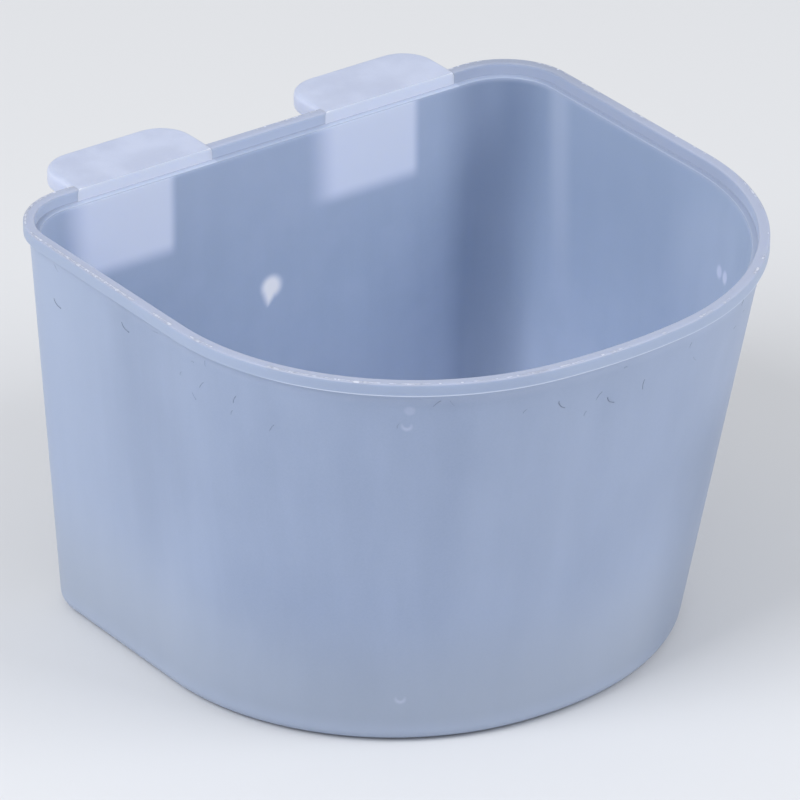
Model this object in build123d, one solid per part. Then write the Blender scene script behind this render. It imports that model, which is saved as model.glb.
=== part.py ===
from build123d import *
from math import cos, radians, sin, tan
import os

# Seed cup with a flat back and two hooks that hang it on cage wire.
# The real cup is one moulding. It is shaped here as one shell, then divided along its own
# feature lines into floor, curved wall, back wall, rim collar and the two-part hooks.
# Millimetres. X runs across the cup, +Y towards the flat back, Z up.
# The origin is the middle of the bounding box, on the surface that the cup stands on.

# Rim: the D-shaped mouth, measured over the collar
rim_width = 100.0
rim_depth = 92.7
rim_corner_r = 11.8
rim_side_r = 44.0
cup_height = 68.4

# Base: the smaller D that the cup stands on
base_width = 87.1
base_depth = 77.9
base_corner_r = 8.2
base_side_r = 41.8

# Angle that both outlines turn through along each side arc, before the flatter front arc
side_turn = 82.5

# Wall and floor
wall = 1.8
floor_thickness = 2.2
base_edge_r = 2.4
cove_r = 1.8
foot_width = 4.0
foot_height = 0.5

# Collar: the band round the mouth, stepped outwards from the wall
collar_height = 2.1
collar_width = 1.75
collar_proud = 0.9
collar_edge = 0.3

# Hook tabs: flat plates level with the rim
hook_offset = 23.2
tab_width = 25.6
tab_reach = 10.2
tab_thickness = 2.8
tab_corner_r = 5.7
tab_edge_r = 0.8

# Hook legs: tapered tongues that hang behind the back wall
wire_gap = 2.9
leg_width = 15.5
leg_root = 6.4
leg_tip = 4.2
leg_length = 15.6
leg_corner_r = 3.0
leg_edge_r = 1.0

# Smallest corner that an inset outline keeps, and how far a cutting block runs past the solid
least_corner_r = 0.4
overrun = 1.0

# Short arcs that each round stretch of an outline is drawn with, and bands that turn the lower edges
arcs_per_turn = 6
bands_per_edge = 4

# Places that follow from the sizes
rim_back = (rim_depth + tab_reach) / 2 - tab_reach
wall_back = rim_back - collar_proud
wall_top = cup_height - collar_height
pan_top = floor_thickness + cove_r
tab_bottom = cup_height - tab_thickness
leg_front = wall_back + wire_gap


def turned(centre, radius, start, size):
    """Round stretch, clockwise from the start angle, as a chain of short arcs."""
    step = -size / arcs_per_turn
    return [CenterArc(centre, radius, start + i * step, step) for i in range(arcs_per_turn)]


def d_face(width, depth, corner_r, side_r, back, z):
    """D outline at height z: flat back, round back corners, straight sides, front of three tangent arcs."""
    half = width / 2
    flat_half = half - corner_r
    corner_y = back - corner_r
    side_x = half - side_r
    front_r = side_r + side_x / cos(radians(side_turn))
    front_y = back - depth + front_r
    side_y = front_y - side_x * tan(radians(side_turn))
    outline = [
        Line((-flat_half, back), (flat_half, back)),
        *turned((flat_half, corner_y), corner_r, 90, 90),
        Line((half, corner_y), (half, side_y)),
        *turned((side_x, side_y), side_r, 0, side_turn),
        *turned((0, front_y), front_r, -side_turn, 180 - 2 * side_turn),
        *turned((-side_x, side_y), side_r, side_turn - 180, side_turn),
        Line((-half, side_y), (-half, corner_y)),
        *turned((-flat_half, corner_y), corner_r, 180, 90),
    ]
    return Pos(0, 0, z) * make_face(outline)


def rim_face(inset, z):
    """Rim outline, moved inwards by inset."""
    corner_r = max(rim_corner_r - inset, least_corner_r)
    return d_face(rim_width - 2 * inset, rim_depth - 2 * inset, corner_r, rim_side_r - inset,
                  rim_back - inset, z)


def wall_face(inset, z):
    """Section of the tapered wall at height z, moved inwards by inset."""
    rise = z / wall_top

    def between(base_size, rim_size):
        return base_size + (rim_size - base_size) * rise

    width = between(base_width, rim_width - 2 * collar_proud)
    depth = between(base_depth, rim_depth - 2 * collar_proud)
    corner_r = between(base_corner_r, rim_corner_r - collar_proud)
    side_r = between(base_side_r, rim_side_r - collar_proud)
    return d_face(width - 2 * inset, depth - 2 * inset, max(corner_r - inset, least_corner_r),
                  side_r - inset, wall_back - inset, z)


def slab(z_low, z_high, half_width, y_low, y_high):
    """Plain block, centred on X."""
    size = (2 * half_width, y_high - y_low, z_high - z_low)
    return Pos(0, (y_low + y_high) / 2, (z_low + z_high) / 2) * Box(*size)


def tapered_body(inset, bottom, edge_r):
    """Loft up to the collar, its sections following a quarter circle round the lower edge."""
    turns = [radians(90 * i / bands_per_edge) for i in range(bands_per_edge + 1)]
    sections = [wall_face(inset + edge_r * (1 - sin(turn)), bottom + edge_r * (1 - cos(turn)))
                for turn in turns]
    return loft([*sections, wall_face(inset, wall_top)], ruled=True)


def cup_shell():
    """Whole shell below the collar: tapered outside, hollow, round at the foot inside and out."""
    outside = tapered_body(0, 0, base_edge_r)
    hollow = tapered_body(wall, floor_thickness, cove_r)
    recess = extrude(wall_face(base_edge_r + foot_width, 0), foot_height)
    return outside - hollow - recess


def rim_collar():
    """Band round the mouth, set out from the wall so that a narrow ledge is left inside it."""
    band = extrude(rim_face(0, wall_top) - rim_face(collar_width, wall_top), collar_height)
    mouth = band.faces().sort_by(Axis.Z)[-1].inner_wires()[0]
    return chamfer(mouth.edges(), collar_edge)


def hook_tab(side):
    """Plate behind the rim, let in under the collar so that it meets both collar and wall."""
    tab_back = rim_back + tab_reach
    length = tab_back - wall_back
    plan = Pos(side * hook_offset, wall_back + length / 2) * Rectangle(tab_width, length)
    plan = fillet(plan.vertices().group_by(Axis.Y)[-1], tab_corner_r)
    plate = extrude(Pos(0, 0, tab_bottom) * plan, tab_thickness)
    plate -= slab(wall_top, cup_height + overrun, rim_width, wall_back - overrun, rim_back)
    top_edges = plate.edges().group_by(Axis.Z)[-1]
    return fillet(top_edges.sort_by(Axis.Y)[1:], tab_edge_r)


def hook_leg(side):
    """Tongue under the tab: upright front face, back face drawn in towards the tip."""
    tip = tab_bottom - leg_length
    profile = Polyline((leg_front, tab_bottom), (leg_front + leg_root, tab_bottom),
                       (leg_front + leg_tip, tip), (leg_front, tip), close=True)
    face = make_face(Plane.YZ * profile)
    leg = extrude(Pos(side * hook_offset, 0, 0) * face, leg_width / 2, both=True)
    leg = fillet(leg.edges().filter_by(Axis.Y).group_by(Axis.Z)[0], leg_corner_r)
    back_edges = leg.faces().sort_by(Axis.Y)[-1].edges()
    return fillet(back_edges.sort_by(Axis.Z)[:-1], leg_edge_r)


shell = cup_shell()

# The back wall is the flat that rests on the wire: between the back corners, below the tabs
seam_half = min(base_width / 2 - base_corner_r, rim_width / 2 - rim_corner_r)
upper = slab(pan_top, cup_height, rim_width, -rim_depth, rim_depth)
lower = slab(-overrun, pan_top, rim_width, -rim_depth, rim_depth)
back_block = slab(pan_top, tab_bottom, seam_half, 0, rim_depth)

pieces = {
    "cup_floor": shell & lower,
    "back_wall": slab(pan_top, tab_bottom, seam_half, wall_back - wall, wall_back),
    "curved_wall": (shell & upper) - back_block,
    "rim_collar": rim_collar(),
    "left_hook_tab": hook_tab(-1),
    "right_hook_tab": hook_tab(1),
    "left_hook_leg": hook_leg(-1),
    "right_hook_leg": hook_leg(1),
}

os.makedirs("parts", exist_ok=True)
for name, piece in pieces.items():
    export_step(piece, f"parts/{name}.step")
    print(name, round(piece.volume, 1), "mm3")
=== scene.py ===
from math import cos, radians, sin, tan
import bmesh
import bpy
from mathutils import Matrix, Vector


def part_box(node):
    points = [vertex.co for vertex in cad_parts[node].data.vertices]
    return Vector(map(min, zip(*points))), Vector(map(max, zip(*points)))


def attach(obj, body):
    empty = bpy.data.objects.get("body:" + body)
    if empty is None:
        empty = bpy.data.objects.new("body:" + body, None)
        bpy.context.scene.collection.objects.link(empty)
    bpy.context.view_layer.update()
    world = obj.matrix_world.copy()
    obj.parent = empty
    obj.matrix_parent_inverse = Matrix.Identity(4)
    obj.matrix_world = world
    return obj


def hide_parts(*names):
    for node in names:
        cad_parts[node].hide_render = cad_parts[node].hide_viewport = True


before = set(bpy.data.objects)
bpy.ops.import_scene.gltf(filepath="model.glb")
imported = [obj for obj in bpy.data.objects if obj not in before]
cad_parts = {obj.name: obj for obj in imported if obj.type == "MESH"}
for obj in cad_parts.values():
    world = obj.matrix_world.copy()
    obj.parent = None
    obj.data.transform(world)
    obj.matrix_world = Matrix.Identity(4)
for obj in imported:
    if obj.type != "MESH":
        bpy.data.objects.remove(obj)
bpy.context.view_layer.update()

# %% [markdown]
# # A seed cup in milky plastic
# The cup hangs on cage wire by two hooks and is moulded in one go from translucent plastic.
# The frame that was just loaded gives the main sizes in metres, so the pieces fit it without any trying out.
# The lesson makes the cup in three pieces, adds the small marks that moulding and use leave on it,
# paints the plastic and ends with a plain studio.

mm = 0.001
floor_low, floor_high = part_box("cup_floor")
wall_low, wall_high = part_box("curved_wall")
flat_low, flat_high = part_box("back_wall")
collar_low, collar_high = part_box("rim_collar")

wall = flat_high.y - flat_low.y
wall_back = flat_high.y
wall_top = collar_low.z
rim_top = collar_high.z
pan_top = floor_high.z
collar_proud = collar_high.x - wall_high.x
top_width = 2 * wall_high.x
top_depth = wall_back - wall_low.y

# %% [markdown]
# ## The outline
# Seen from above the mouth is a D: flat at the back, round corners, straight sides, and a front of three
# arcs that run into each other: one along each side and a flatter one across the middle.
# The base is a smaller D of its own proportions, so the walls lean in at the front and the sides while
# the back stays upright. A curve could be drawn by hand, but a formula keeps both outlines in step,
# point for point, and that is what lets one be blended into the other later.

# %% D outlines of mouth and base
top_corner, top_side = 10.9 * mm, 43.1 * mm
base_corner, base_side = 8.2 * mm, 41.8 * mm
side_turn = 82.5
corner_steps, back_steps, straight_steps = 16, 28, 16
side_steps, front_steps = 48, 12


def at_base(at_top, at_pan):
    """Size of the cup on the table, carried on down the taper from its sizes at mouth and pan."""
    return at_pan - (at_top - at_pan) * pan_top / (wall_top - pan_top)


def arc(centre, radius, start, end, steps):
    """Points along an arc, without the last one, so that stretches join without doubles."""
    turns = [radians(start + (end - start) * i / steps) for i in range(steps)]
    return [(centre[0] + radius * cos(turn), centre[1] + radius * sin(turn)) for turn in turns]


def run(start, end, steps):
    """Points along a straight stretch, without the last one."""
    return [tuple(a + (b - a) * i / steps for a, b in zip(start, end)) for i in range(steps)]


def d_outline(width, depth, corner, side):
    """Anticlockwise D, from the right back corner round the flat back and the front."""
    half = width / 2
    flat = half - corner
    corner_y = wall_back - corner
    side_x = half - side
    front = side + side_x / cos(radians(side_turn))
    front_y = wall_back - depth + front
    side_y = front_y - side_x * tan(radians(side_turn))
    return (arc((flat, corner_y), corner, 0, 90, corner_steps)
            + run((flat, wall_back), (-flat, wall_back), back_steps)
            + arc((-flat, corner_y), corner, 90, 180, corner_steps)
            + run((-half, corner_y), (-half, side_y), straight_steps)
            + arc((-side_x, side_y), side, 180, 180 + side_turn, side_steps)
            + arc((0, front_y), front, 180 + side_turn, 360 - side_turn, front_steps)
            + arc((side_x, side_y), side, 360 - side_turn, 360, side_steps)
            + run((half, side_y), (half, corner_y), straight_steps))


base_width = at_base(top_width, floor_high.x - floor_low.x)
base_depth = at_base(top_depth, wall_back - floor_low.y)
top_points = d_outline(top_width, top_depth, top_corner, top_side)
base_points = d_outline(base_width, base_depth, base_corner, base_side)
print("base is", round(base_width / mm, 1), "by", round(base_depth / mm, 1), "mm,",
      len(top_points), "points round each outline")

# %% [markdown]
# ## The wall's section
# Cut through, the wall runs from the foot ring round a soft lower edge, up to the collar, over the flat
# rim, back down past a narrow ledge, and into the floor through a cove. Each corner is a small arc,
# because a moulded edge is never quite sharp and the arc is what catches a thin line of light.
# The section is drawn as pairs of inset and height: inset is how far in from the wall's outer face.

# %% Section of wall, collar and foot
floor_level = 2.2 * mm
cove = 1.8 * mm
floor_reach = 2.5 * cove
foot_edge = 2.4 * mm
foot_width = 4.0 * mm
foot_recess = 0.5 * mm
collar_width = 1.75 * mm
rim_setdown = 0.05 * mm
soft = 0.15 * mm
recess_reach = 8 * soft
bend_steps, round_steps = 6, 10
recess_rows, foot_rows, wall_rows, floor_rows = 2, 4, 20, 3


def corner_of(inset, height, radius, start, end):
    """Rounded corner of the section, its last point included."""
    middle = (inset, height)
    return arc(middle, radius, start, end, bend_steps) + arc(middle, radius, end, end, 1)


foot_inner = foot_edge + foot_width
collar_inner = collar_width - collar_proud
lip = rim_top - rim_setdown
section = (
    run((foot_inner + recess_reach, foot_recess), (foot_inner + soft, foot_recess), recess_rows)
    + corner_of(foot_inner + soft, foot_recess - soft, soft, 90, 180)
    + corner_of(foot_inner - soft, soft, soft, 0, -90)
    + run((foot_inner - 2 * soft, 0), (foot_edge, 0), foot_rows)
    + arc((foot_edge, foot_edge), foot_edge, 270, 180, round_steps)
    + run((0, foot_edge), (0, wall_top - 2 * soft), wall_rows)
    + corner_of(-2 * soft, wall_top - 2 * soft, 2 * soft, 0, 90)
    + corner_of(soft - collar_proud, wall_top + soft, soft, 270, 180)
    + corner_of(1.5 * soft - collar_proud, lip - 1.5 * soft, 1.5 * soft, 180, 90)
    + corner_of(collar_inner - 2 * soft, lip - 2 * soft, 2 * soft, 90, 0)
    + corner_of(collar_inner + soft, wall_top + soft, soft, 180, 270)
    + corner_of(wall - soft, wall_top - soft, soft, 90, 0)
    + run((wall, wall_top - 2 * soft), (wall, floor_level + cove), wall_rows)
    + arc((wall + cove, floor_level + cove), cove, 180, 270, round_steps)
    + run((wall + cove, floor_level), (wall + floor_reach, floor_level), floor_rows))


def length_of(points):
    """Length along a row of points."""
    return sum((Vector(b) - Vector(a)).length for a, b in zip(points, points[1:]))


highest = section.index(max(section, key=lambda point: point[1]))
rim_share = length_of(section[:highest + 1]) / length_of(section)
print(len(section), "points along the section, the rim at", round(rim_share, 3), "of its length")

# %% [markdown]
# ## Geometry Nodes that sweep the section round the outline
# A sweep keeps its section upright, so on its own it would make a straight-sided tub. The tree therefore
# looks up, for each point of the mouth's outline, the matching point of the base's outline. The step
# between the two is the lean of the wall there. After the sweep every point moves by its share of that
# lean: nothing at the collar, all of it on the table. One rule then gives an upright back and a raked front.

# %% Helpers for building node trees
def plug(tree, source, socket):
    """Joins another node's output to a socket, or sets the socket to a plain value."""
    if isinstance(source, bpy.types.NodeSocket):
        tree.links.new(source, socket)
    else:
        socket.default_value = source


def add(tree, kind, inputs=(), **settings):
    """Adds a node, sets it up and fills its inputs, which are named or numbered."""
    node = tree.nodes.new(kind)
    for name, value in settings.items():
        setattr(node, name, value)
    for name, source in dict(inputs).items():
        plug(tree, source, node.inputs[name])
    return node


def maths(tree, operation, *values, clamp=False):
    """Output of a Math node on the given values."""
    node = add(tree, "ShaderNodeMath", enumerate(values), operation=operation, use_clamp=clamp)
    return node.outputs[0]


def new_tree(name, inputs):
    """Empty geometry tree with one named input for each entry, and its input and output nodes."""
    tree = bpy.data.node_groups.new(name, "GeometryNodeTree")
    for label, kind in inputs.items():
        tree.interface.new_socket(label, in_out="INPUT", socket_type="NodeSocket" + kind)
    tree.interface.new_socket("Geometry", in_out="OUTPUT", socket_type="NodeSocketGeometry")
    return tree, tree.nodes.new("NodeGroupInput").outputs, tree.nodes.new("NodeGroupOutput").inputs


def finish_tree(tree, geometry, material, result):
    """Ends a tree: real geometry in place of instances, with its material."""
    real = add(tree, "GeometryNodeRealizeInstances", {"Geometry": geometry})
    made = add(tree, "GeometryNodeSetMaterial", {"Geometry": real.outputs[0], "Material": material})
    plug(tree, made.outputs[0], result["Geometry"])
    print("tree", tree.name, "has", len(tree.nodes), "nodes")


def grow(name, tree, values):
    """Runs a tree on an empty object and keeps what it makes as a plain mesh."""
    piece = bpy.data.objects.new(name, bpy.data.meshes.new(name))
    bpy.context.scene.collection.objects.link(piece)
    modifier = piece.modifiers.new(name, "NODES")
    modifier.node_group = tree
    for item in tree.interface.items_tree:
        if item.in_out == "INPUT":
            modifier[item.identifier] = values[item.name]
    made = piece.evaluated_get(bpy.context.evaluated_depsgraph_get())
    mesh = bpy.data.meshes.new_from_object(made)
    piece.modifiers.clear()
    piece.data = mesh
    return piece


print("node helpers ready")

# %% Tree for the cup's body
tree, given, result = new_tree("sweep_leaning_wall", {
    "Top outline": "Object", "Base outline": "Object", "Wall section": "Object",
    "Wall height": "Float", "Rim share": "Float", "Plastic": "Material"})


def shape_of(tree, source):
    """Geometry of an object that is handed to a tree."""
    return add(tree, "GeometryNodeObjectInfo", {"Object": source}).outputs["Geometry"]


place = tree.nodes.new("GeometryNodeInputPosition").outputs[0]
number = tree.nodes.new("GeometryNodeInputIndex").outputs[0]
below = add(tree, "GeometryNodeSampleIndex", {"Geometry": shape_of(tree, given["Base outline"])},
            data_type="FLOAT_VECTOR")
plug(tree, place, below.inputs["Value"])
plug(tree, number, below.inputs["Index"])
lean = add(tree, "ShaderNodeVectorMath", {0: below.outputs[0], 1: place}, operation="SUBTRACT")
noted = add(tree, "GeometryNodeStoreNamedAttribute",
            {"Geometry": shape_of(tree, given["Top outline"]), "Name": "lean"}, data_type="FLOAT_VECTOR")
plug(tree, lean.outputs[0], noted.inputs["Value"])
path = add(tree, "GeometryNodeSetCurveNormal", {"Curve": noted.outputs[0]}, mode="Z_UP")
along = tree.nodes.new("GeometryNodeSplineParameter").outputs["Factor"]
past_rim = maths(tree, "GREATER_THAN", along, given["Rim share"])
marked = add(tree, "GeometryNodeStoreNamedAttribute",
             {"Geometry": shape_of(tree, given["Wall section"]), "Name": "inside", "Value": past_rim})
swept = add(tree, "GeometryNodeCurveToMesh", {"Curve": path.outputs[0], "Profile Curve": marked.outputs[0]})
height = add(tree, "ShaderNodeSeparateXYZ", {0: place}).outputs["Z"]
share = maths(tree, "SUBTRACT", 1.0, maths(tree, "DIVIDE", height, given["Wall height"]), clamp=True)
noted_lean = add(tree, "GeometryNodeInputNamedAttribute", {"Name": "lean"}, data_type="FLOAT_VECTOR")
shift = add(tree, "ShaderNodeVectorMath", {0: noted_lean.outputs[0], "Scale": share}, operation="SCALE")
leaning = add(tree, "GeometryNodeSetPosition", {"Geometry": swept.outputs[0], "Offset": shift.outputs[0]})
finish_tree(tree, leaning.outputs[0], given["Plastic"], result)

# %% Body of the cup
weld = 0.001 * mm
sharp_angle = 50


def path_object(name, points, closed):
    """Curve of straight steps through the given points."""
    curve = bpy.data.curves.new(name, "CURVE")
    curve.dimensions = "3D"
    spline = curve.splines.new("POLY")
    spline.points.add(len(points) - 1)
    for knot, point in zip(spline.points, points):
        knot.co = (*point, 1)
    spline.use_cyclic_u = closed
    drawn = bpy.data.objects.new(name, curve)
    bpy.context.scene.collection.objects.link(drawn)
    return drawn


def discard(*objects):
    """Removes drawing aids that have done their work."""
    for aid in objects:
        bpy.data.objects.remove(aid)


def close_and_smooth(piece):
    """Fills open ends, points all faces outwards and smooths all but true edges."""
    shape = bmesh.new()
    shape.from_mesh(piece.data)
    bmesh.ops.remove_doubles(shape, verts=shape.verts, dist=weld)
    bmesh.ops.holes_fill(shape, edges=[edge for edge in shape.edges if edge.is_boundary], sides=0)
    bmesh.ops.recalc_face_normals(shape, faces=shape.faces)
    shape.to_mesh(piece.data)
    shape.free()
    piece.data.shade_smooth()
    piece.data.set_sharp_from_angle(angle=radians(sharp_angle))


plastic = bpy.data.materials.new("milky_plastic")
thick_plastic = bpy.data.materials.new("thick_milky_plastic")
top_outline = path_object("top_outline", [(x, y, 0) for x, y in top_points], True)
base_outline = path_object("base_outline", [(x, y, 0) for x, y in base_points], True)
wall_section = path_object("wall_section", [(-inset, -height, 0) for inset, height in section], False)
cup_body = grow("cup_body", tree, {
    "Top outline": top_outline, "Base outline": base_outline, "Wall section": wall_section,
    "Wall height": wall_top, "Rim share": rim_share, "Plastic": plastic})
close_and_smooth(cup_body)
discard(top_outline, base_outline, wall_section)
print("cup_body has", len(cup_body.data.polygons), "faces and is",
      [round(size / mm, 2) for size in cup_body.dimensions], "mm")

# %% [markdown]
# ## The hooks
# Each hook is a flat tab, level with the rim and reaching across it to the mouth, with a tapered leg that
# hangs down behind the wall. A box with a bevel would do for one edge size only, and here the tip, the
# root and the top edge are all rounded differently. So the hook is built as a stack of rounded
# rectangles, from the tip of the leg upwards, and a skin is drawn over the stack.

# %% Rounded rectangles and a skin over them
ring_corner_steps, ring_side_steps, ring_end_steps = 8, 6, 10


def rounded_ring(x_low, x_high, y_low, y_high, front_r, back_r):
    """Anticlockwise rectangle with its own corner radius at the front and at the back."""
    front_y, back_y = y_low + front_r, y_high - back_r
    return (arc((x_high - front_r, front_y), front_r, 270, 360, ring_corner_steps)
            + run((x_high, front_y), (x_high, back_y), ring_side_steps)
            + arc((x_high - back_r, back_y), back_r, 0, 90, ring_corner_steps)
            + run((x_high - back_r, y_high), (x_low + back_r, y_high), ring_end_steps)
            + arc((x_low + back_r, back_y), back_r, 90, 180, ring_corner_steps)
            + run((x_low, back_y), (x_low, front_y), ring_side_steps)
            + arc((x_low + front_r, front_y), front_r, 180, 270, ring_corner_steps)
            + run((x_low + front_r, y_low), (x_high - front_r, y_low), ring_end_steps))


def skin(name, rings, material):
    """Closed mesh over a stack of rings that all have the same number of points."""
    count = len(rings[0])
    points = [point for ring in rings for point in ring]
    faces = [(row + i, row + (i + 1) % count, row + count + (i + 1) % count, row + count + i)
             for row in range(0, count * (len(rings) - 1), count) for i in range(count)]
    mesh = bpy.data.meshes.new(name)
    mesh.from_pydata(points, [], faces)
    mesh.materials.append(material)
    piece = bpy.data.objects.new(name, mesh)
    bpy.context.scene.collection.objects.link(piece)
    close_and_smooth(piece)
    return piece


print("ring and skin helpers ready")

# %% Left and right hook
leg_tip = 4.2 * mm
leg_corner = 3.0 * mm
leg_edge = 1.0 * mm
tip_draw = 0.4 * leg_edge
front_corner = leg_edge / 2
root_fillet = 0.8 * mm
tab_corner = 5.7 * mm
tab_edge = 0.8 * mm
tab_lip = 0.03 * mm
edge_steps = 6
quarter_turn = [radians(90 * i / edge_steps) for i in range(edge_steps + 1)]
rim_inner = collar_high.y - collar_width


def leg_ring(leg_low, leg_high, height, spread, pinch):
    """Section of the leg, spread on all sides or with its ends pinched in."""
    risen = (height - leg_low.z) / (leg_high.z - leg_low.z)
    thickness = leg_tip + (leg_high.y - leg_low.y - leg_tip) * risen
    ring = rounded_ring(leg_low.x - spread + pinch, leg_high.x + spread - pinch, leg_low.y - spread,
                        leg_low.y + thickness + spread, front_corner, leg_edge)
    return [(x, y, height) for x, y in ring]


def tab_ring(tab_low, tab_high, height, inset, front_inset=0.0):
    """Outline of the tab, from the mouth's edge backwards."""
    ring = rounded_ring(tab_low.x + inset, tab_high.x - inset, rim_inner - tab_lip + front_inset,
                        tab_high.y - inset, front_corner, tab_corner - inset)
    return [(x, y, height) for x, y in ring]


def make_hook(side):
    """Leg from its tip up, fillet under the tab, then the tab up to its rounded top edge."""
    leg_low, leg_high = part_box(side + "_hook_leg")
    tab_low, tab_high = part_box(side + "_hook_tab")
    tip = [leg_ring(leg_low, leg_high, leg_low.z + leg_corner * (1 - cos(turn)),
                    -tip_draw * (1 - sin(turn)), leg_corner * (1 - sin(turn))) for turn in quarter_turn]
    root = [leg_ring(leg_low, leg_high, leg_high.z - root_fillet * (1 - sin(turn)),
                     root_fillet * (1 - cos(turn)), 0) for turn in quarter_turn]
    under = [tab_ring(tab_low, tab_high, tab_low.z + tab_edge / 2 * (1 - cos(turn)),
                      tab_edge / 2 * (1 - sin(turn))) for turn in quarter_turn]
    over = [tab_ring(tab_low, tab_high, tab_high.z - tab_edge * (1 - sin(turn)),
                     tab_edge * (1 - cos(turn))) for turn in quarter_turn]
    top = tab_ring(tab_low, tab_high, tab_high.z, 1.5 * tab_edge, tab_edge / 2)
    return skin(side + "_hook", [*tip, *root, *under, *over, top], thick_plastic)


hooks = [make_hook("left"), make_hook("right")]
print("hooks have", [len(hook.data.polygons) for hook in hooks], "faces")

# %% [markdown]
# ## The milky plastic
# The plastic is clear resin clouded all through. Where it is thin it looks grey-blue, and where it is
# thick, or where a second layer lies behind, it scatters more light and looks nearly white. A full
# simulation of that needs hundreds of samples, so the clouding, the light the plastic lets through and
# part of the lamps' light and shade are painted into its colour from each point's own place on the cup,
# and subsurface scattering only softens it. Places come from Object coordinates, which are the frame's own
# metres, so a band at the collar or a patch in front of a leg is written as a plain size.

# %% Helpers for masks and tones
spot_core = 0.4


def srgb(red, green, blue):
    """Linear colour from screen values of 0 to 255."""
    return tuple((value / 255) ** 2.2 for value in (red, green, blue)) + (1.0,)


def fade(tree, value, start, full):
    """Soft step: 0 up to start and 1 from full on, whether the value rises or falls on the way."""
    node = add(tree, "ShaderNodeMapRange", {"Value": value, "From Min": start, "From Max": full},
               interpolation_type="SMOOTHSTEP")
    return node.outputs[0]


def ramp(tree, value, start, end, at_start=0.0, at_end=1.0):
    """Straight run from one output to another, held at both ends."""
    node = add(tree, "ShaderNodeMapRange", {"Value": value, "From Min": start, "From Max": end,
                                            "To Min": at_start, "To Max": at_end})
    return node.outputs[0]


def both(tree, *masks):
    """Product of masks: 1 only where all of them are."""
    product = masks[0]
    for mask in masks[1:]:
        product = maths(tree, "MULTIPLY", product, mask)
    return product


def apart(tree, place, centre):
    """Distance of the surface from a point."""
    return add(tree, "ShaderNodeVectorMath", {0: place, 1: centre}, operation="DISTANCE").outputs["Value"]


def spot(tree, place, centre, radius):
    """Soft round spot on the surface, full in its core."""
    return fade(tree, apart(tree, place, centre), radius, spot_core * radius)


def tint(tree, mask, under, over):
    """Colour that goes from under to over as the mask goes from 0 to 1."""
    node = add(tree, "ShaderNodeMix", {0: mask, 6: under, 7: over}, data_type="RGBA")
    return node.outputs[2]


def wash(tree, under, over, strength, *steps):
    """Lets a second tone through by a strength, where all the steps, soft and in millimetres, are full."""
    masks = [fade(tree, value, start * mm, full * mm) for value, start, full in steps]
    return tint(tree, both(tree, *masks, strength), under, over)


print("mask and tone helpers ready")

# %% Helpers for the plastic's surface
peel_grain = (1.4 * mm, 1.4 * mm, 1.4 * mm)
flow_grain = (9 * mm, 9 * mm, 26 * mm)
peel_share = 0.12
relief_strength, relief_depth = 0.35, 0.08 * mm
roughness_range = (0.32, 0.5)
plastic_values = {"IOR": 1.49, "Subsurface Weight": 0.35, "Subsurface Radius": (1.0, 1.1, 1.3),
                  "Subsurface Scale": 1.5 * mm}


def clouds(tree, place, stretch, detail=3.0):
    """Noise whose grain has the given size along each axis."""
    grain = add(tree, "ShaderNodeMapping", {"Vector": place, "Scale": [1 / size for size in stretch]})
    noise = add(tree, "ShaderNodeTexNoise", {"Vector": grain.outputs[0], "Scale": 1.0, "Detail": detail})
    return noise.outputs[0]


def start_paint(material):
    """Tree, shader and object place of a material, with the plastic's own values set."""
    material.use_nodes = True
    tree = material.node_tree
    shader = tree.nodes["Principled BSDF"]
    for name, value in plastic_values.items():
        shader.inputs[name].default_value = value
    place = tree.nodes.new("ShaderNodeTexCoord").outputs["Object"]
    return tree, shader, place


def mould_finish(tree, shader, place):
    """Uneven gloss and a faint orange peel, as a polished mould leaves."""
    peel = clouds(tree, place, peel_grain, detail=2.0)
    flow = clouds(tree, place, flow_grain)
    plug(tree, ramp(tree, flow, 0.0, 1.0, *roughness_range), shader.inputs["Roughness"])
    relief = maths(tree, "ADD", maths(tree, "MULTIPLY", peel, peel_share), flow)
    bump = add(tree, "ShaderNodeBump",
               {"Height": relief, "Strength": relief_strength, "Distance": relief_depth})
    plug(tree, bump.outputs[0], shader.inputs["Normal"])


print("surface helpers ready")

# %% [markdown]
# ### Walls
# The walls are the thin part. Long upright streaks show how the melt rose in the mould, wide billows how
# it mixed, and a fine speckle keeps the surface from looking like paint. All three are noise, stretched to
# the size of what it stands for, and together they blend two tones that lie close to each other.

# %% Streaks, billows and speckle
thin_tone, streak_tone = srgb(140, 155, 184), srgb(152, 167, 196)
streak_grain, streak_share = (5 * mm, 5 * mm, 60 * mm), 0.35
billow_grain, billow_share = (22 * mm, 22 * mm, 30 * mm), 0.5
speckle_grain, speckle_share = (0.35 * mm, 0.35 * mm, 0.35 * mm), 0.5
streak_step, cloud_step = (0.3, 0.75), (0.3, 0.7)

tree, shader, place = start_paint(plastic)
axes = add(tree, "ShaderNodeSeparateXYZ", {0: place}).outputs
across, depth, height = axes["X"], axes["Y"], axes["Z"]
inside = add(tree, "ShaderNodeAttribute", attribute_name="inside").outputs["Fac"]
outside = maths(tree, "SUBTRACT", 1.0, inside)

streaks = fade(tree, clouds(tree, place, streak_grain), *streak_step)
billows = fade(tree, clouds(tree, place, billow_grain), *cloud_step)
speckle = maths(tree, "SUBTRACT", clouds(tree, place, speckle_grain, detail=1.0), 0.5)
mottle = maths(tree, "ADD", maths(tree, "MULTIPLY", streaks, streak_share),
               maths(tree, "MULTIPLY", billows, billow_share))
mottle = maths(tree, "ADD", mottle, maths(tree, "MULTIPLY", speckle, speckle_share), clamp=True)
colour = tint(tree, mottle, thin_tone, streak_tone)
print("three grains of noise in", plastic.name)
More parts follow.
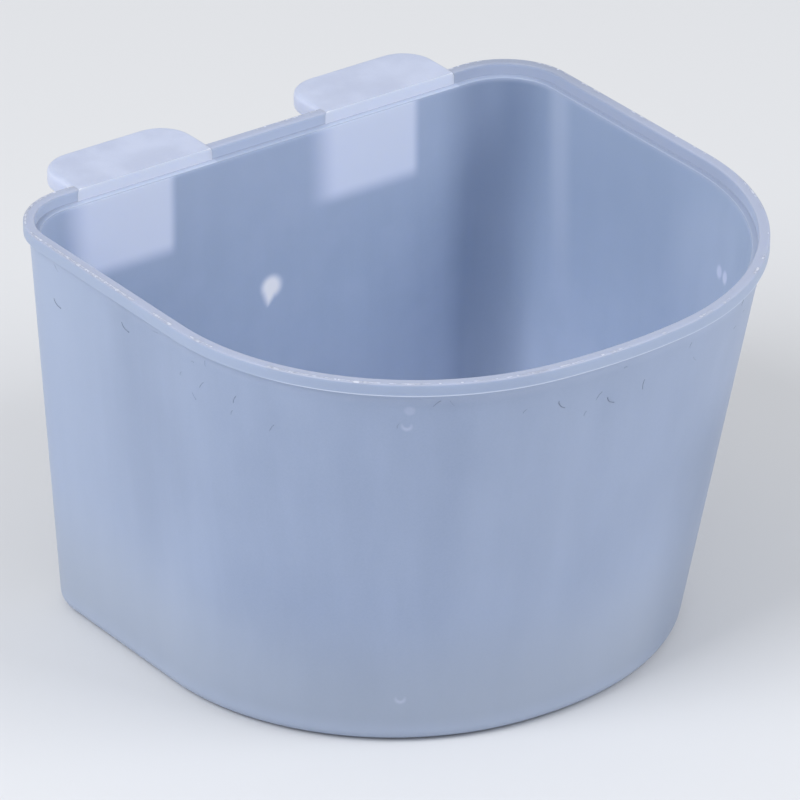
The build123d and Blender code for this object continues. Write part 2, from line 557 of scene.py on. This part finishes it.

# %% [markdown]
# Light that enters the cup comes out again elsewhere, and the lamps fall on it from the left, so the outer
# wall is not one tone. That light and shade is painted into the colour. The wall is painted paler where the
# floor, the collar or another wall sends light through it, towards the lamp on the left, near the foot and
# under the collar. It is painted darker where nothing does, on the collar's face and right of the front.
# Each such place is a wash, a second tone let through by a strength. Its steps give an axis, the millimetre
# at which the wash begins and the millimetre at which it is full. A table of washes is easier to tune than
# a painted picture, and it stays in its place on the cup from every side.

# %% Washes on the outer wall
# Painted light and shade: the pale tones are painted light. The right and collar-face tones are painted
# shade.
haze_and_light_tone, right_shade_tone, foot_light_tone = srgb(176, 190, 216), srgb(128, 143, 170), srgb(159, 168, 181)
collar_front_shade_tone, collar_side_shade_tone = srgb(150, 164, 191), srgb(160, 174, 200)
collar_foot = wall_top / mm

left_strength = ramp(tree, depth, 8 * mm, 28 * mm, 0.1, 0.6)
shade_strength = ramp(tree, across, -42 * mm, -25 * mm, 0.4, 0.7)
off_front = maths(tree, "ABSOLUTE", maths(tree, "ADD", across, 30 * mm))
collar_face_shade = wash(tree, collar_front_shade_tone, collar_side_shade_tone, 1.0, (off_front, 8, 24))
outer_washes = {
    "left side": (haze_and_light_tone, left_strength, (across, -36, -49)),
    "low on the left": (haze_and_light_tone, 0.45, (across, -24, -40), (height, 40, 6), (depth, -16, 6)),
    "low on the right": (haze_and_light_tone, 0.5, (across, -22, 12), (height, 50, 12)),
    "high on the front": (haze_and_light_tone, 0.25, (across, -18, 4), (height, 22, 48)),
    "strip down the front": (haze_and_light_tone, 0.2, (across, -25, -19), (across, -1, -7)),
    "towards the foot": (foot_light_tone, 0.5, (height, 28, 5)),
    "foot edge": (haze_and_light_tone, 0.3, (height, 5, 1.5)),
    "under the collar": (haze_and_light_tone, shade_strength, (height, collar_foot - 2.5, collar_foot)),
    "collar": (collar_face_shade, 1.0, (height, collar_foot + 0.1, collar_foot + 0.25)),
    "right of the front": (right_shade_tone, 0.5, (across, 12, 26), (height, 52, 36))}
for tone, strength, *steps in outer_washes.values():
    colour = wash(tree, colour, tone, strength, *steps)
print("outer wall:", ", ".join(outer_washes))

# %% [markdown]
# The inner wall is lit from above and from its opposite side, and that light and shade is painted. The
# inner tones are paler than the outer ones, and paler still towards the floor, high on the back and at the
# far left. A faint upright streak of painted light stands beside the right back corner, and the upper right
# wall is painted darker. That corner itself, which turns away from the light, is painted as the darkest
# part of the cup. A haze of noise, the plastic's own clouding, runs through the inner tones.

# %% Washes on the inner wall
# Painted light and shade of the inner wall: the inner, low and pale tones are painted light, and the high and
# corner tones are painted shade. The haze is the plastic's own clouding.
inner_lit_tone, inner_lit_streak = srgb(162, 178, 204), srgb(170, 186, 212)
low_light_tone, high_shade_tone, corner_shade_tone = srgb(198, 208, 227), srgb(146, 163, 191), srgb(98, 115, 148)
haze_grain, haze_step, haze_share = (8 * mm, 8 * mm, 8 * mm), (0.42, 0.7), 0.3
corner_shade_strength = 0.46
light_streak_foot, light_streak_slope = 18.9 * mm, 0.126
right_end = (44 * mm, -15 * mm, 52 * mm)
side_face, back_face = top_width / 2 / mm, wall_back / mm

inner = tint(tree, mottle, inner_lit_tone, inner_lit_streak)
haze = fade(tree, clouds(tree, place, haze_grain), *haze_step)
inner = tint(tree, maths(tree, "MULTIPLY", haze, haze_share), inner, haze_and_light_tone)
light_streak_line = maths(tree, "MULTIPLY_ADD", height, light_streak_slope, light_streak_foot)
off_light_streak = maths(tree, "ABSOLUTE", maths(tree, "SUBTRACT", depth, light_streak_line))
off_right_end = apart(tree, place, right_end)
inner_washes = {
    "low down": (low_light_tone, 0.58, (height, 36, 2)),
    "high on the right": (high_shade_tone, 0.7, (across, 36, 46), (height, 20, 60), (depth, -25, 5)),
    "streak of light": (low_light_tone, 0.3, (off_light_streak, 4, 0.5), (across, 38, 42), (height, 22, 55)),
    "right end": (low_light_tone, 0.12, (off_right_end, 16, 6.4)),
    "high on the back": (haze_and_light_tone, 0.4, (depth, 36, 38), (height, 42, 64)),
    "far left": (haze_and_light_tone, 0.6, (across, -38, -46))}
for tone, strength, *steps in inner_washes.values():
    inner = wash(tree, inner, tone, strength, *steps)
colour = tint(tree, inside, colour, inner)
# Painted shade in the right back corner.
colour = wash(tree, colour, corner_shade_tone, corner_shade_strength, (across, side_face - 17.9, side_face - 9),
              (depth, back_face - 12.9, back_face - 4))
print("inner wall:", ", ".join(inner_washes), "and the dark corner")

# %% [markdown]
# ### Rim, collar and ledge
# The top of the collar is where the moulding ends, and light that has run up inside the wall leaves it
# there. So the rim and the inside of the collar are painted paler than the wall below them, as painted
# light. The ledge has a tone of its own, and the collar's lower edge carries a thin pale line, a painted
# highlight. The bands follow the height, so they run round the mouth, and only their tones shift towards
# the right, darker there as painted shade.

# %% Pale rim, ledge and collar edge
# Painted light on the rim and inside the collar, painted shade towards the right, and a painted highlight on
# the collar's lower edge.
collar_tone, collar_right_shade_tone = srgb(184, 196, 219), srgb(168, 179, 202)
rim_tone, rim_right_shade_tone = srgb(161, 170, 194), srgb(146, 155, 177)
ledge_tone, edge_highlight_tone = srgb(157, 169, 194), srgb(188, 199, 222)
lip_height = lip / mm

collar_shade = wash(tree, collar_tone, collar_right_shade_tone, 1.0, (across, 15, 38), (depth, -30, -10))
rim_shade = wash(tree, rim_tone, rim_right_shade_tone, 1.0, (across, 25, 46), (depth, -5, 38))
rim_washes = {
    "inside of the collar": (collar_shade, inside, (height, collar_foot - 1.0, collar_foot + 0.1)),
    "ledge": (ledge_tone, inside, (height, collar_foot - 0.3, collar_foot - 0.1),
              (height, collar_foot + 0.3, collar_foot + 0.1)),
    "rim": (rim_shade, 1.0, (height, lip_height - 0.35, lip_height - 0.1)),
    "lower edge of the collar": (edge_highlight_tone, outside, (height, collar_foot - 0.12, collar_foot - 0.02),
                                 (height, collar_foot + 0.28, collar_foot + 0.18), (across, -49, -42))}
for tone, strength, *steps in rim_washes.values():
    colour = wash(tree, colour, tone, strength, *steps)
print("bands:", ", ".join(rim_washes))

# %% [markdown]
# ### The legs behind the back wall
# The legs hang a little behind the wall, and the cup is mostly looked at from the front left and above.
# Seen that way through the cloudy wall, each leg's image lies a few millimetres to the left of the leg and
# above its tip, with a crisp right edge and a left edge that melts away along the leg's side. That image is
# painted on the inner wall as a pale patch of light. The ledge in front of each tab is painted paler too,
# because the tab backs it, and the paint also lifts the shade under the tab.

# %% Pale patches in front of the legs
# Painted light: the pale images of the legs, and a paler ledge in front of each tab.
painted_leg_image_tone, tab_ledge_light_tone = srgb(219, 227, 249), srgb(173, 184, 208)
image_left, image_right, image_bottom = (-17.0, -10.5), (5.4, 3.4), (52.0, 55.2)
left_blur, right_blur = 2, 0.2
inner_back = wall_back - wall

on_back_wall = both(tree, inside, fade(tree, depth, inner_back - 0.4 * mm, inner_back - 0.2 * mm))
for side in ("left", "right"):
    leg_low, leg_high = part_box(side + "_hook_leg")
    tab_low, tab_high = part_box(side + "_hook_tab")
    tab_half = (tab_high.x - tab_low.x) / 2 / mm
    from_leg = maths(tree, "SUBTRACT", across, (leg_low.x + leg_high.x) / 2)
    colour = wash(tree, colour, painted_leg_image_tone, on_back_wall, (from_leg, *image_left), (from_leg, *image_right),
                  (height, *image_bottom), (height, collar_foot, collar_foot - 0.15))
    colour = wash(tree, colour, tab_ledge_light_tone, on_back_wall,
                  (from_leg, -tab_half - left_blur, -tab_half + left_blur),
                  (from_leg, tab_half + right_blur, tab_half - right_blur),
                  (height, collar_foot - 0.3, collar_foot - 0.1),
                  (height, collar_foot + 0.35, collar_foot + 0.15))
print("patches in front of two legs")

# %% [markdown]
# ### Small marks
# A white teardrop shape is painted on the back wall, and a few small blisters, marks of the moulding, on
# the other walls. The drop is a round bulb joined to a taper that runs to a tip. A blister is a soft spot,
# and a bubble is a spot with its upper part taken out again, which leaves the lower edge of a small
# hollow, painted bright as a highlight.

# %% Drop on the back wall
# A white teardrop-shaped spot, painted on the back wall.
drop_tone = srgb(248, 248, 255)
drop_top = (-0.45 * mm, inner_back, 41.7 * mm)
drop_tip = (-1.3 * mm, inner_back, 37.9 * mm)
drop_radius, drop_blur, drop_taper, tip_share = 2.6 * mm, 1.7 * mm, 0.7, 0.15

up_drop = ramp(tree, height, drop_tip[2], drop_top[2])
middle = ramp(tree, up_drop, 0.0, 1.0, drop_tip[0], drop_top[0])
half_width = maths(tree, "MULTIPLY", maths(tree, "POWER", up_drop, drop_taper), drop_radius)
beside = maths(tree, "ABSOLUTE", maths(tree, "SUBTRACT", across, middle))
taper = both(tree, fade(tree, maths(tree, "SUBTRACT", half_width, beside), 0.0, drop_blur),
             fade(tree, up_drop, 0.0, tip_share), fade(tree, height, drop_top[2] + drop_blur, drop_top[2]))
bulb = fade(tree, maths(tree, "SUBTRACT", drop_radius, apart(tree, place, drop_top)), 0.0, drop_blur)
tear = both(tree, on_back_wall, maths(tree, "MAXIMUM", bulb, taper))
colour = tint(tree, tear, colour, drop_tone)
print("drop", round((drop_top[2] - drop_tip[2] + drop_radius) / mm, 1), "mm high")

# %% Blisters
# Pale blisters. A bubble is a hollow in the plastic, and its bright lower edge is a painted highlight.
blister_and_highlight_tone = srgb(214, 220, 243)
hollow_rise, hollow_share = 0.3, 0.75
blisters = {
    "fleck on the right wall": ((43.4 * mm, -20.0 * mm, 54.1 * mm), 1.4 * mm, 0.75),
    "fleck beside it": ((44.3 * mm, -17.6 * mm, 53.9 * mm), 1.4 * mm, 0.65),
    "smear on the front": ((-31.6 * mm, -40.9 * mm, 63.3 * mm), 1.1 * mm, 0.16),
    "bubble on the front": ((-31.6 * mm, -40.2 * mm, 60.4 * mm), 1.1 * mm, 0.3),
    "bubble at the foot": ((-26.4 * mm, -31.4 * mm, 8.6 * mm), 1.1 * mm, 0.3)}
for name, (centre, radius, strength) in blisters.items():
    mark = spot(tree, place, centre, radius)
    if "bubble" in name:
        hollow_centre = Vector(centre) + Vector((0, 0, hollow_rise * radius))
        hollow = spot(tree, place, hollow_centre, hollow_share * radius)
        mark = maths(tree, "SUBTRACT", mark, hollow, clamp=True)
    colour = tint(tree, maths(tree, "MULTIPLY", mark, strength), colour, blister_and_highlight_tone)
plug(tree, colour, shader.inputs["Base Color"])
mould_finish(tree, shader, place)
print(", ".join(blisters), "and", len(tree.nodes), "nodes in", plastic.name)

# %% [markdown]
# ### Hooks
# The hooks are several times as thick as the walls, so they are the palest part. The same kind of clouds
# runs through them, only finer. Their sides and fronts, where the light leaves the plastic, are painted
# paler than their tops: painted light.

# %% Paint of the hooks
hook_tone, hook_cloud = srgb(172, 181, 206), srgb(186, 195, 219)
# Painted light on the hooks' sides and fronts. The base tones are the thick plastic's own.
hook_side_light_tone, hook_front_light_tone = srgb(196, 204, 227), srgb(220, 227, 246)
hook_grain, hook_billow_share, hook_speckle_share = (6 * mm, 6 * mm, 9 * mm), 0.7, 0.3
tab_height, mouth_edge = rim_top / mm, rim_inner / mm

tree, shader, place = start_paint(thick_plastic)
axes = add(tree, "ShaderNodeSeparateXYZ", {0: place}).outputs
depth, height = axes["Y"], axes["Z"]
billows = fade(tree, clouds(tree, place, hook_grain), *cloud_step)
speckle = clouds(tree, place, speckle_grain, detail=1.0)
mottle = maths(tree, "ADD", maths(tree, "MULTIPLY", billows, hook_billow_share),
               maths(tree, "MULTIPLY", speckle, hook_speckle_share))
colour = tint(tree, mottle, hook_tone, hook_cloud)
colour = wash(tree, colour, hook_side_light_tone, 1.0, (height, tab_height - 0.02, tab_height - 0.4))
colour = wash(tree, colour, hook_front_light_tone, 1.0, (depth, mouth_edge + 0.12, mouth_edge),
              (height, tab_height - 0.002, tab_height - 0.02))
plug(tree, colour, shader.inputs["Base Color"])
mould_finish(tree, shader, place)
print(len(tree.nodes), "nodes in", thick_plastic.name)

# %% [markdown]
# ## Flash on the rim
# Where the two halves of the mould met, a hair of plastic was squeezed out along the rim's outer edge and
# later chipped off in places. It follows the rim all the way round, so it is scattered along the collar's
# own outline: short slivers of random length, in clumps, and more of them on the left.

# %% Tree for the flash
sliver_sides, sliver_rings = 8, 5
right_share = 0.5
clump_step = (0.4, 0.56)
tree, given, result = new_tree("flash_along_edge", {
    "Edge": "Object", "Slivers": "Int", "Kept share": "Float", "Full at": "Float",
    "Clumps per metre": "Float", "Least size": "Vector", "Most size": "Vector", "Seed": "Int",
    "Plastic": "Material"})
path = add(tree, "GeometryNodeSetCurveNormal", {"Curve": shape_of(tree, given["Edge"])}, mode="Z_UP")
spots_on_path = add(tree, "GeometryNodeCurveToPoints", {"Curve": path.outputs[0], "Count": given["Slivers"]},
                    mode="COUNT")
place = tree.nodes.new("GeometryNodeInputPosition").outputs[0]
across = add(tree, "ShaderNodeSeparateXYZ", {0: place}).outputs["X"]
to_left = ramp(tree, across, 0.0, given["Full at"], right_share)
clumps = add(tree, "ShaderNodeTexNoise", {"Vector": place, "Scale": given["Clumps per metre"], "Detail": 1.0})
chance = both(tree, given["Kept share"], to_left, ramp(tree, clumps.outputs[0], *clump_step))
kept = add(tree, "FunctionNodeRandomValue", {"Seed": given["Seed"]}, data_type="BOOLEAN")
plug(tree, chance, kept.inputs["Probability"])
size = add(tree, "FunctionNodeRandomValue",
           {0: given["Least size"], 1: given["Most size"], "Seed": given["Seed"]}, data_type="FLOAT_VECTOR")
sliver = add(tree, "GeometryNodeMeshUVSphere",
             {"Segments": sliver_sides, "Rings": sliver_rings, "Radius": 1.0})
scattered = add(tree, "GeometryNodeInstanceOnPoints",
                {"Points": spots_on_path.outputs["Points"], "Selection": kept.outputs[3],
                 "Instance": sliver.outputs[0], "Rotation": spots_on_path.outputs["Rotation"],
                 "Scale": size.outputs[0]})
finish_tree(tree, scattered.outputs[0], given["Plastic"], result)

# %% Flash slivers
flash_width = (0.14 * mm, 0.32 * mm)
flash_length = (0.3 * mm, 1.1 * mm)
flash_height = flash_width[1] / 2
flash_tone, flash_pale = srgb(170, 179, 203), srgb(210, 218, 240)
chalk_grain, flash_roughness = (0.8 * mm, 0.8 * mm, 0.8 * mm), 0.6


def widened(points, by):
    """Closed outline moved outwards by the same amount all round."""
    moved = []
    for before, (x, y), after in zip(points[-1:] + points[:-1], points, points[1:] + points[:1]):
        along = Vector((after[0] - before[0], after[1] - before[1], 0)).normalized()
        moved.append((x + along.y * by, y - along.x * by))
    return moved


flash_plastic = bpy.data.materials.new("chalky_flash")
edge_points = widened(top_points, collar_proud - flash_width[1])
edge = path_object("rim_edge", [(x, y, rim_top - flash_height) for x, y in edge_points], True)
rim_flash = grow("rim_flash", tree, {
    "Edge": edge, "Slivers": 520, "Kept share": 1.0, "Full at": -30 * mm, "Clumps per metre": 140.0,
    "Seed": 7, "Plastic": flash_plastic,
    "Least size": (flash_width[0], flash_height, flash_length[0]),
    "Most size": (flash_width[1], flash_height, flash_length[1])})
rim_flash.data.shade_smooth()
discard(edge)
tree, shader, place = start_paint(flash_plastic)
chalk = fade(tree, clouds(tree, place, chalk_grain), *cloud_step)
plug(tree, tint(tree, chalk, flash_tone, flash_pale), shader.inputs["Base Color"])
shader.inputs["Roughness"].default_value = flash_roughness
print("rim_flash has", len(rim_flash.data.polygons), "faces")

# %% [markdown]
# ## Hair scratches
# Below the collar the wall carries a few short dark hairs, scratches from being stacked in other cups.
# They lie flat on the surface wherever they happen to fall, which is a job for scattering on faces: the
# tree picks points on the outer wall in a band under the collar and lays a bent hair on each.

# %% Tree for the scratches
hair_steps, hair_sides, hair_radius = 6, 6, 0.03
half_turn = 3.14
most_bend = 1.6
tree, given, result = new_tree("hairs_on_wall", {
    "Cup": "Object", "Band bottom": "Float", "Band top": "Float", "Density": "Float", "Least length": "Float",
    "Most length": "Float", "Seed": "Int", "Scratch": "Material"})
place = tree.nodes.new("GeometryNodeInputPosition").outputs[0]
facing = tree.nodes.new("GeometryNodeInputNormal").outputs[0]
height = add(tree, "ShaderNodeSeparateXYZ", {0: place}).outputs["Z"]
over = maths(tree, "GREATER_THAN", height, given["Band bottom"])
under = maths(tree, "LESS_THAN", height, given["Band top"])
outwards = add(tree, "ShaderNodeVectorMath", {0: place, 1: facing}, operation="DOT_PRODUCT").outputs["Value"]
in_band = both(tree, over, under, maths(tree, "GREATER_THAN", outwards, 0.0))
found = add(tree, "GeometryNodeDistributePointsOnFaces",
            {"Mesh": shape_of(tree, given["Cup"]), "Selection": in_band, "Density": given["Density"],
             "Seed": given["Seed"]})
bend = add(tree, "GeometryNodeCurveQuadraticBezier",
           {"Resolution": hair_steps, "Start": (-0.5, 0, 0), "Middle": (0.1, 0.35, 0), "End": (0.5, 0.1, 0)})
thread = add(tree, "GeometryNodeCurvePrimitiveCircle", {"Resolution": hair_sides, "Radius": hair_radius})
hair = add(tree, "GeometryNodeCurveToMesh",
           {"Curve": bend.outputs[0], "Profile Curve": thread.outputs[0], "Fill Caps": True})
spin = add(tree, "FunctionNodeRandomValue", {"Min": -half_turn, "Max": half_turn, "Seed": given["Seed"]})
turned = add(tree, "FunctionNodeAxisAngleToRotation", {"Axis": (0, 0, 1), "Angle": spin.outputs[1]})
laid = add(tree, "FunctionNodeRotateRotation", {0: found.outputs["Rotation"], 1: turned.outputs[0]},
           rotation_space="LOCAL")
length = add(tree, "FunctionNodeRandomValue",
             {2: given["Least length"], 3: given["Most length"], "Seed": given["Seed"]})
bending = add(tree, "FunctionNodeRandomValue", {"Min": -most_bend, "Max": most_bend, "Seed": given["Seed"]})
stretch = add(tree, "ShaderNodeCombineXYZ", {"X": 1.0, "Y": bending.outputs[1], "Z": 1.0})
size = add(tree, "ShaderNodeVectorMath", {0: stretch.outputs[0], "Scale": length.outputs[1]},
           operation="SCALE")
scattered = add(tree, "GeometryNodeInstanceOnPoints",
                {"Points": found.outputs["Points"], "Instance": hair.outputs[0], "Rotation": laid.outputs[0],
                 "Scale": size.outputs[0]})
finish_tree(tree, scattered.outputs[0], given["Scratch"], result)

# %% Hair scratches on the wall
scratch_tone, worn_tone = srgb(96, 108, 134), srgb(140, 154, 182)
worn_grain, scratch_roughness = (0.6 * mm, 0.6 * mm, 0.6 * mm), 0.7
scratch_paint = bpy.data.materials.new("dull_scratch")
hair_scratches = grow("hair_scratches", tree, {
    "Cup": cup_body, "Band bottom": wall_top - 8 * mm, "Band top": wall_top - 0.8 * mm, "Density": 34000.0,
    "Least length": 0.6 * mm, "Most length": 2.2 * mm, "Seed": 11, "Scratch": scratch_paint})
tree, shader, place = start_paint(scratch_paint)
worn = clouds(tree, place, worn_grain)
plug(tree, tint(tree, worn, scratch_tone, worn_tone), shader.inputs["Base Color"])
shader.inputs["Roughness"].default_value = scratch_roughness
print("hair_scratches has", len(hair_scratches.data.polygons), "faces")

# %% [markdown]
# ## Who stands for what
# The body and the hooks stand for the eight nodes of the frame. Flash and scratches stand for no node of
# their own. All of them ride on the frame's only body.

# %% Pieces on the frame
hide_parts("cup_floor", "curved_wall", "back_wall", "rim_collar")
for side, hook in zip(("left", "right"), hooks):
    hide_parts(side + "_hook_tab", side + "_hook_leg")
pieces = (cup_body, *hooks, rim_flash, hair_scratches)
for piece in pieces:
    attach(piece, "root")
print("on the frame:", ", ".join(piece.name for piece in pieces))

# %% [markdown]
# ## The studio
# A pale floor, one large soft lamp at the upper left, a weaker one at the right and an even grey sky.
# Large lamps give the soft edges that milky plastic shows, and the bright sky keeps its shadows pale.

# %% Floor, lamps and sky
scene = bpy.context.scene
scene.view_settings.view_transform = "Standard"
floor_tone, floor_roughness = srgb(214, 216, 220), 0.9
sky_tone, sky_strength = (1, 1, 1, 1), 0.63
reach = 3.0

floor_mesh = bpy.data.meshes.new("floor")
floor_corners = [(-reach, -reach, 0), (reach, -reach, 0), (reach, reach, 0), (-reach, reach, 0)]
floor_mesh.from_pydata(floor_corners, [], [(0, 1, 2, 3)])
floor = bpy.data.objects.new("floor", floor_mesh)
scene.collection.objects.link(floor)
pale = bpy.data.materials.new("pale_floor")
pale.use_nodes = True
floor_shader = pale.node_tree.nodes["Principled BSDF"]
floor_shader.inputs["Base Color"].default_value = floor_tone
floor_shader.inputs["Roughness"].default_value = floor_roughness
floor_mesh.materials.append(pale)


def soft_lamp(name, place, size, power):
    """Square lamp that looks at the middle of the cup."""
    data = bpy.data.lights.new(name, "AREA")
    data.size = size
    data.energy = power
    lamp = bpy.data.objects.new(name, data)
    lamp.location = place
    lamp.rotation_euler = (Vector((0, 0, rim_top / 2)) - Vector(place)).to_track_quat("-Z", "Y").to_euler()
    scene.collection.objects.link(lamp)
    return lamp


lamps = [soft_lamp("key_lamp", place=(-0.85, -0.1, 0.9), size=0.6, power=8.3),
         soft_lamp("fill_lamp", place=(0.5, -0.8, 0.85), size=0.6, power=5.8)]
sky = bpy.data.worlds.new("sky")
sky.use_nodes = True
sky_light = sky.node_tree.nodes["Background"]
sky_light.inputs["Color"].default_value = sky_tone
sky_light.inputs["Strength"].default_value = sky_strength
scene.world = sky
print("floor, sky and", ", ".join(lamp.name for lamp in lamps))

# %% [markdown]
# ## The camera
# The camera stands far off with a long lens, in front of the cup, to the left and above. That flattens the
# view, so the near and the far side of the rim look almost equally large.

# %% Camera
view_azimuth, view_elevation = radians(-36.03), radians(27.76)
view_distance = 1139.5 * mm
view_target = Vector((-7.3, -5.1, 42.3)) * mm
picture_width = 800
focal_pixels = 7500
backwards = Vector((sin(view_azimuth) * cos(view_elevation), -cos(view_azimuth) * cos(view_elevation),
                    sin(view_elevation)))
camera_data = bpy.data.cameras.new("camera")
camera_data.sensor_width = 36
camera_data.lens = camera_data.sensor_width * focal_pixels / picture_width
camera = bpy.data.objects.new("camera", camera_data)
camera.location = view_target + backwards * view_distance
camera.rotation_euler = (-backwards).to_track_quat("-Z", "Y").to_euler()
scene.collection.objects.link(camera)
scene.camera = camera
print("camera", round(view_distance, 2), "m away with a", round(camera_data.lens), "mm lens")
